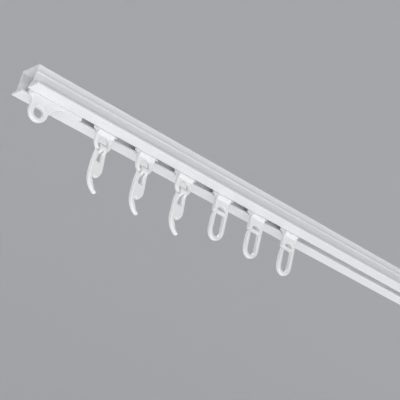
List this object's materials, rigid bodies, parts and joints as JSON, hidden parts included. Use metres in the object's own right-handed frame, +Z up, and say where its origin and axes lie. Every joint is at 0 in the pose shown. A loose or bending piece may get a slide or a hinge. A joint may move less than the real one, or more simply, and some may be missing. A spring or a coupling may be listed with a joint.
{
  "type": "curtain track",
  "caption": "Ceiling curtain track in white plastic: a slotted channel with clamped end stops, sliding gliders with swinging pleat hooks, and sliding gliders with long oval rings.",
  "frame": {"origin": "the middle of the rail's top face, which goes against the ceiling", "axes": "+X along the rail, away from the end that the picture shows; -Y towards the room; +Z up"},
  "size_m": [0.32, 0.02, 0.0367],
  "materials": {
    "rail_plastic": "white extruded PVC with a soft sheen and faint die lines along it",
    "stop_plastic": "white moulded nylon, smooth",
    "glider_plastic": "white moulded acetal, smooth and slightly translucent",
    "hook_plastic": "white moulded acetal, smooth and slightly translucent"
  },
  "bodies": {
    "rail": {"track": "rail_plastic", "end_stop_near": "stop_plastic", "end_stop_far": "stop_plastic"},
    "glider_1": {"hook_glider_1": "glider_plastic"},
    "glider_2": {"hook_glider_2": "glider_plastic"},
    "glider_3": {"hook_glider_3": "glider_plastic"},
    "glider_4": {"ring_glider_1": "glider_plastic"},
    "glider_5": {"ring_glider_2": "glider_plastic"},
    "glider_6": {"ring_glider_3": "glider_plastic"},
    "hook_1": {"pleat_hook_1": "hook_plastic"},
    "hook_2": {"pleat_hook_2": "hook_plastic"},
    "hook_3": {"pleat_hook_3": "hook_plastic"}
  },
  "joints": [
    {"name": "glider_1_run", "type": "slide", "parent": "rail", "child": "glider_1", "axis": [1, 0, 0], "range_m": [-0.0059, 0.0092]},
    {"name": "glider_2_run", "type": "slide", "parent": "rail", "child": "glider_2", "axis": [1, 0, 0], "range_m": [-0.0092, 0.0092]},
    {"name": "glider_3_run", "type": "slide", "parent": "rail", "child": "glider_3", "axis": [1, 0, 0], "range_m": [-0.0092, 0.0098]},
    {"name": "glider_4_run", "type": "slide", "parent": "rail", "child": "glider_4", "axis": [1, 0, 0], "range_m": [-0.0098, 0.0086]},
    {"name": "glider_5_run", "type": "slide", "parent": "rail", "child": "glider_5", "axis": [1, 0, 0], "range_m": [-0.0086, 0.0086]},
    {"name": "glider_6_run", "type": "slide", "parent": "rail", "child": "glider_6", "axis": [1, 0, 0], "range_m": [-0.0086, 0.133]},
    {"name": "hook_1_swing", "type": "hinge", "parent": "glider_1", "child": "hook_1", "pos_m": [-0.119, 0, -0.01755], "axis": [1, 0, 0], "range_deg": [-35, 35]},
    {"name": "hook_2_swing", "type": "hinge", "parent": "glider_2", "child": "hook_2", "pos_m": [-0.0967, 0, -0.01755], "axis": [1, 0, 0], "range_deg": [-35, 35]},
    {"name": "hook_3_swing", "type": "hinge", "parent": "glider_3", "child": "hook_3", "pos_m": [-0.0744, 0, -0.01755], "axis": [1, 0, 0], "range_deg": [-35, 35]}
  ]
}
